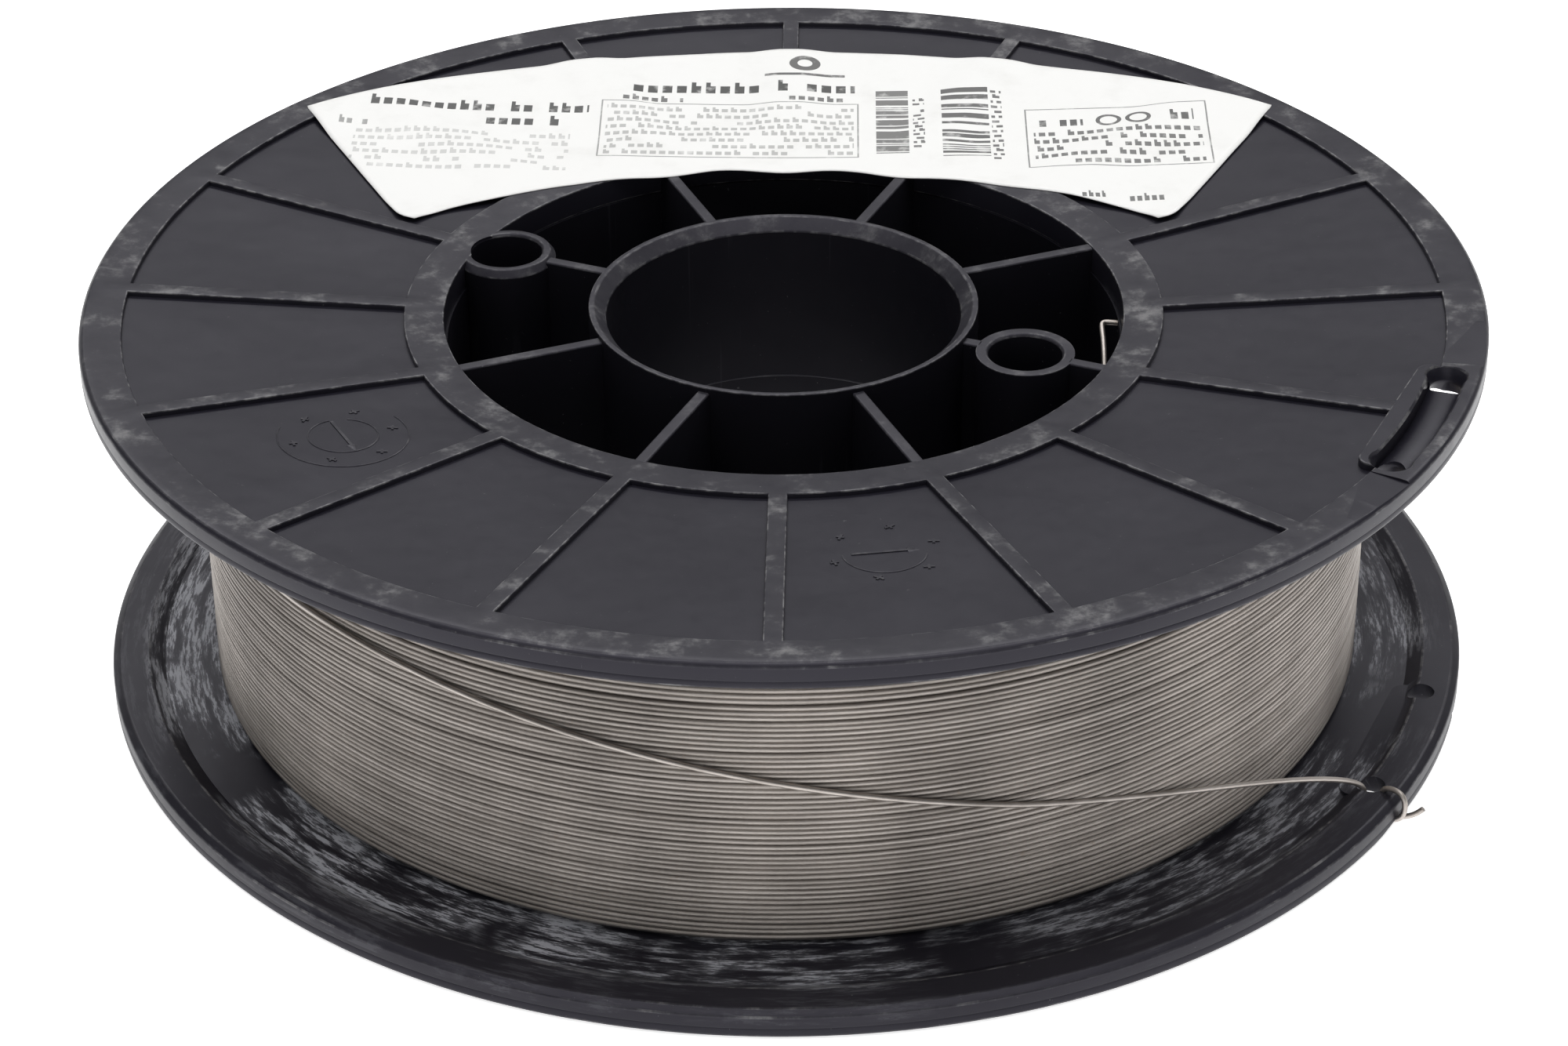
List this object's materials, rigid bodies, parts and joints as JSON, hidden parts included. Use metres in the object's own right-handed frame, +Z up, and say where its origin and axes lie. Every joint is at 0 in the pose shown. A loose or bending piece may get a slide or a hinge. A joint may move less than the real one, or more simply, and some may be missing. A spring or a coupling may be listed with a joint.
{
  "type": "wire spool",
  "caption": "Dished-flange moulded spool with a webbed hub, wound with thin steel wire; the free end is hooked through the lower rim.",
  "frame": {"origin": "on the winding axis in the plane of the lower rim, which the spool rests on", "axes": "+Z up along the winding axis; +X towards the wire start in the hub; -Y is the front, and the label is towards +Y"},
  "size_m": [0.2, 0.2, 0.0575],
  "materials": {
    "black_plastic": "moulded, semi-matte, faintly scuffed",
    "steel_wire": "bright drawn, bare",
    "label_paper": "matte printed"
  },
  "bodies": {
    "root": {"lower_flange": "black_plastic", "upper_flange": "black_plastic", "winding_drum": "black_plastic", "hub_tube": "black_plastic", "hub_web_1": "black_plastic", "hub_web_2": "black_plastic", "hub_web_3": "black_plastic", "hub_web_4": "black_plastic", "hub_web_5": "black_plastic", "hub_web_6": "black_plastic", "hub_web_7": "black_plastic", "hub_web_8": "black_plastic", "drive_bush_outer": "black_plastic", "drive_bush_inner": "black_plastic", "wire_pack": "steel_wire", "wire_outer_layer": "steel_wire", "wire_tail": "steel_wire", "wire_start": "steel_wire", "label": "label_paper"}
  },
  "joints": []
}
